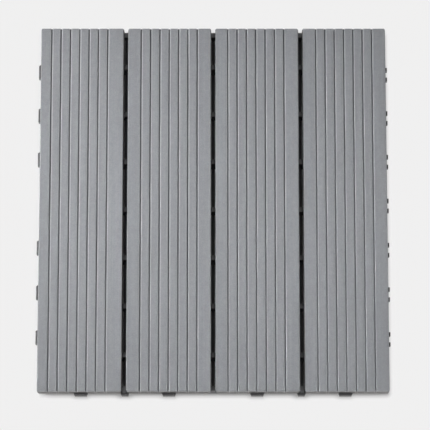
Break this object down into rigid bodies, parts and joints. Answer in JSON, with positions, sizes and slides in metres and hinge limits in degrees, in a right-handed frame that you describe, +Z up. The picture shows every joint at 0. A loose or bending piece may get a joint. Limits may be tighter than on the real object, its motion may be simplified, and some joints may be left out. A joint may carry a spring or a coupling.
{
  "type": "interlocking deck tile",
  "caption": "Deck tile of grooved grey composite slats screwed to a dark moulded base grid with tabs and rings along its edges.",
  "frame": {"origin": "middle of the tile's outline, on the floor that the tile lies on", "axes": "+X across the slats towards the side with the rings, +Y along the slats towards the end with the rings, +Z up from the floor"},
  "size_m": [0.2878, 0.307, 0.022],
  "materials": {
    "composite": "matt grooved wood-plastic composite",
    "base_plastic": "satin moulded plastic",
    "screw_steel": "zinc-plated steel"
  },
  "bodies": {
    "root": {"slat_1": "composite", "slat_2": "composite", "slat_3": "composite", "slat_4": "composite", "base_grid": "base_plastic", "slat_screws": "screw_steel"}
  },
  "joints": []
}
